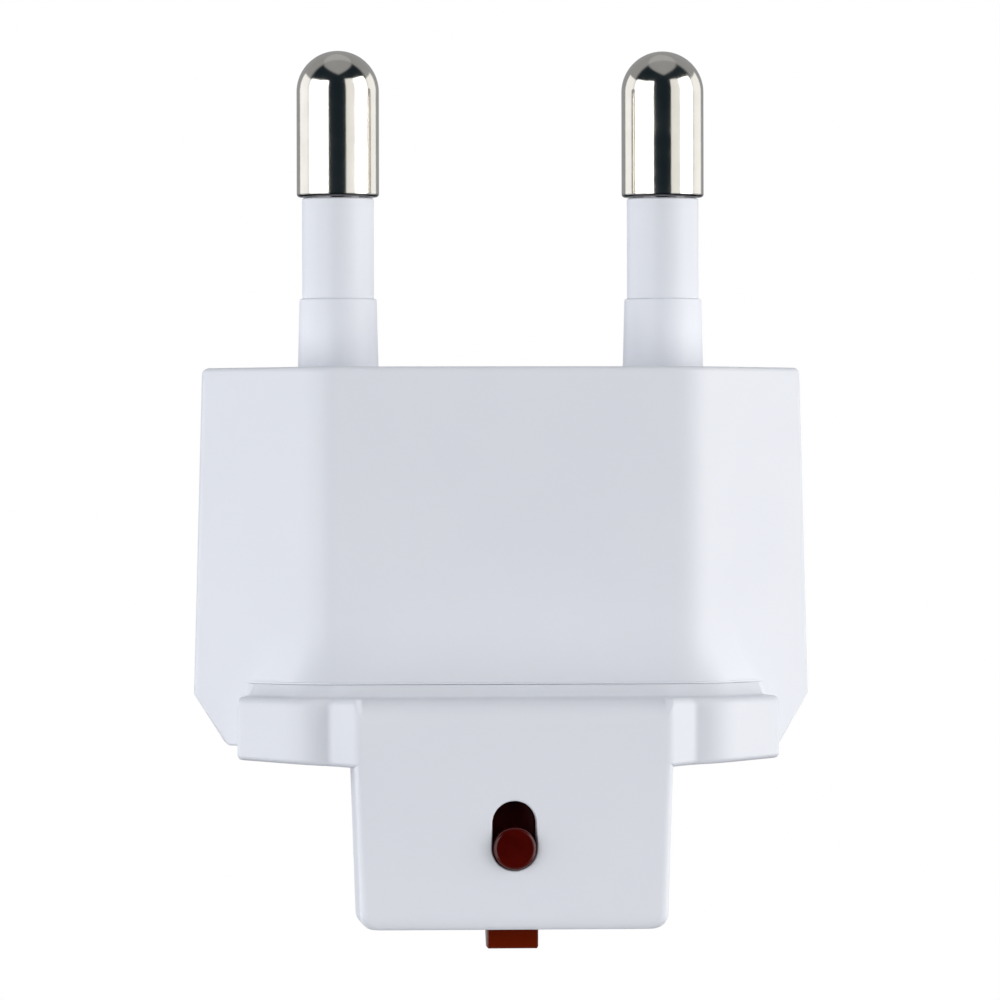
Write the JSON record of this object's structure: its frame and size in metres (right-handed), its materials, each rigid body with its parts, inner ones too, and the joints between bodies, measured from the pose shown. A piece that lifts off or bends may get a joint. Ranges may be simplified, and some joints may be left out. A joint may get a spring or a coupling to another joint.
{
  "type": "interchangeable mains plug head",
  "caption": "White interchangeable mains plug head: insulated round pins on a flat-sided body, with a latching tongue and a sliding release button.",
  "frame": {"origin": "on the engagement face, midway between the two pins", "axes": "+Z along the pins towards their tips, -Y out of the front where the latch button is, +X to the right seen from the front"},
  "size_m": [0.0358, 0.0182, 0.0518],
  "materials": {
    "white_plastic": "satin moulded plastic, cool white",
    "latch_plastic": "smooth dark red moulded plastic",
    "nickel_plate": "polished nickel plate on brass",
    "spring_steel": "bright spring steel",
    "brass": "stamped brass",
    "contact_bronze": "stamped phosphor bronze",
    "carrier_plastic": "dark heat-resistant moulded plastic",
    "screw_steel": "zinc-plated steel"
  },
  "bodies": {
    "plug_body": {"main_housing": "white_plastic", "rear_cover": "white_plastic", "latch_housing": "white_plastic", "latch_cover": "white_plastic", "pin_sleeve_left": "white_plastic", "pin_sleeve_right": "white_plastic", "pin_retainer_plate": "white_plastic", "latch_spring": "spring_steel", "contact_carrier": "carrier_plastic", "pin_left": "nickel_plate", "pin_washer_left": "spring_steel", "busbar_left": "brass", "contact_rivet_left": "brass", "contact_clip_left": "contact_bronze", "latch_housing_screw_left": "screw_steel", "latch_cover_screw_left": "screw_steel", "pin_right": "nickel_plate", "pin_washer_right": "spring_steel", "busbar_right": "brass", "contact_rivet_right": "brass", "contact_clip_right": "contact_bronze", "latch_housing_screw_right": "screw_steel", "latch_cover_screw_right": "screw_steel", "rear_cover_screw_upper": "screw_steel", "rear_cover_screw_lower": "screw_steel"},
    "latch": {"latch_slider": "latch_plastic"}
  },
  "joints": [
    {"name": "latch_slide", "type": "slide", "parent": "plug_body", "child": "latch", "axis": [0, 0, 1], "range_m": [0, 0.0014], "stiffness_N_per_m": 600, "springref_m": -0.001, "deforming": ["latch_spring"]}
  ]
}
